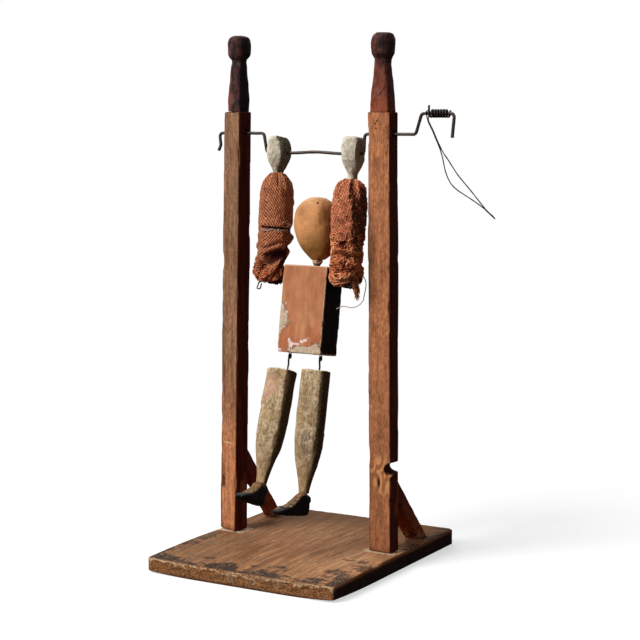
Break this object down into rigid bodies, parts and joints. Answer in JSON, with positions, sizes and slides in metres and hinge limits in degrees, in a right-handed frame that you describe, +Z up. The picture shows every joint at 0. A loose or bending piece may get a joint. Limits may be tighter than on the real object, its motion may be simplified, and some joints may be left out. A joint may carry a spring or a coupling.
{
  "type": "crank acrobat whirligig",
  "caption": "Hand-cranked wooden acrobat toy: a jointed figure with cloth sleeves hangs by its hands from a bent wire crank between posts on a plank base.",
  "frame": {"origin": "centre of the base board's underside", "axes": "+X along the axle towards the grip, +Y away from the front, +Z up"},
  "size_m": [0.232, 0.188, 0.3912],
  "materials": {
    "board_wood": "worn bare plank, dark at its edges",
    "post_wood": "aged reddish bare wood",
    "finial_wood": "dark worn paint over turned wood",
    "brace_wood": "dark red-brown stained wood",
    "nail_steel": "dull nail steel",
    "crank_steel": "dark worn wire",
    "winding_steel": "dark wound wire",
    "cream_wood": "worn cream paint over carved wood",
    "sleeve_wool": "red-brown wool twill",
    "thread_wool": "loose wool thread",
    "torso_wood": "salmon paint, chipped to cream",
    "head_wood": "smooth tan paint",
    "leg_wood": "mottled tan paint",
    "boot_wood": "worn black paint"
  },
  "bodies": {
    "stand": {"base_board": "board_wood", "left_post": "post_wood", "right_post": "post_wood", "left_finial": "finial_wood", "right_finial": "finial_wood", "left_brace": "brace_wood", "right_brace": "brace_wood", "left_post_outer_nail": "nail_steel", "left_post_inner_nail": "nail_steel", "right_post_outer_nail": "nail_steel", "right_post_inner_nail": "nail_steel", "left_brace_foot_nail": "nail_steel", "left_brace_top_nail": "nail_steel", "right_brace_foot_nail": "nail_steel", "right_brace_top_nail": "nail_steel"},
    "crank": {"crank_wire": "crank_steel", "grip_winding": "winding_steel"},
    "pull_loop": {"pull_wire": "crank_steel"},
    "left_arm_group": {"left_arm": "cream_wood", "left_sleeve": "sleeve_wool"},
    "right_arm_group": {"right_arm": "cream_wood", "right_sleeve": "sleeve_wool", "sleeve_thread": "thread_wool"},
    "torso_group": {"torso_block": "torso_wood", "neck_peg": "cream_wood", "head": "head_wood", "shoulder_wire": "crank_steel", "left_hip_staple": "crank_steel", "right_hip_staple": "crank_steel"},
    "left_leg_group": {"left_leg": "leg_wood", "left_hip_wire": "crank_steel", "left_boot": "boot_wood", "left_boot_nail": "nail_steel"},
    "right_leg_group": {"right_leg": "leg_wood", "right_hip_wire": "crank_steel", "right_boot": "boot_wood", "right_boot_nail": "nail_steel"}
  },
  "joints": [
    {"name": "crank_spin", "type": "hinge", "parent": "stand", "child": "crank", "pos_m": [0, 0.008, 0.31868], "axis": [1, 0, 0], "continuous": true},
    {"name": "pull_wire_swing", "type": "hinge", "parent": "crank", "child": "pull_loop", "pos_m": [0.09736, 0.008, 0.33348], "axis": [1, 0, 0], "continuous": true},
    {"name": "left_hand_swing", "type": "hinge", "parent": "crank", "child": "left_arm_group", "pos_m": [-0.02604, 0.008, 0.30428], "axis": [1, 0, 0], "continuous": true},
    {"name": "right_hand_swing", "type": "hinge", "parent": "crank", "child": "right_arm_group", "pos_m": [0.03776, 0.008, 0.30428], "axis": [1, 0, 0], "continuous": true},
    {"name": "shoulder_swing", "type": "hinge", "parent": "left_arm_group", "child": "torso_group", "pos_m": [0.00986, -0.00392, 0.20903], "axis": [1, 0, 0], "range_deg": [-120, 120]},
    {"name": "left_hip_swing", "type": "hinge", "parent": "torso_group", "child": "left_leg_group", "pos_m": [-0.00424, -0.01283, 0.15516], "axis": [1, 0, 0], "range_deg": [-33, 56]},
    {"name": "right_hip_swing", "type": "hinge", "parent": "torso_group", "child": "right_leg_group", "pos_m": [0.02196, -0.01283, 0.15516], "axis": [1, 0, 0], "range_deg": [-42, 47]}
  ],
  "couplings": [
    {"joint": "right_hand_swing", "follows": "left_hand_swing", "ratio": 1}
  ]
}
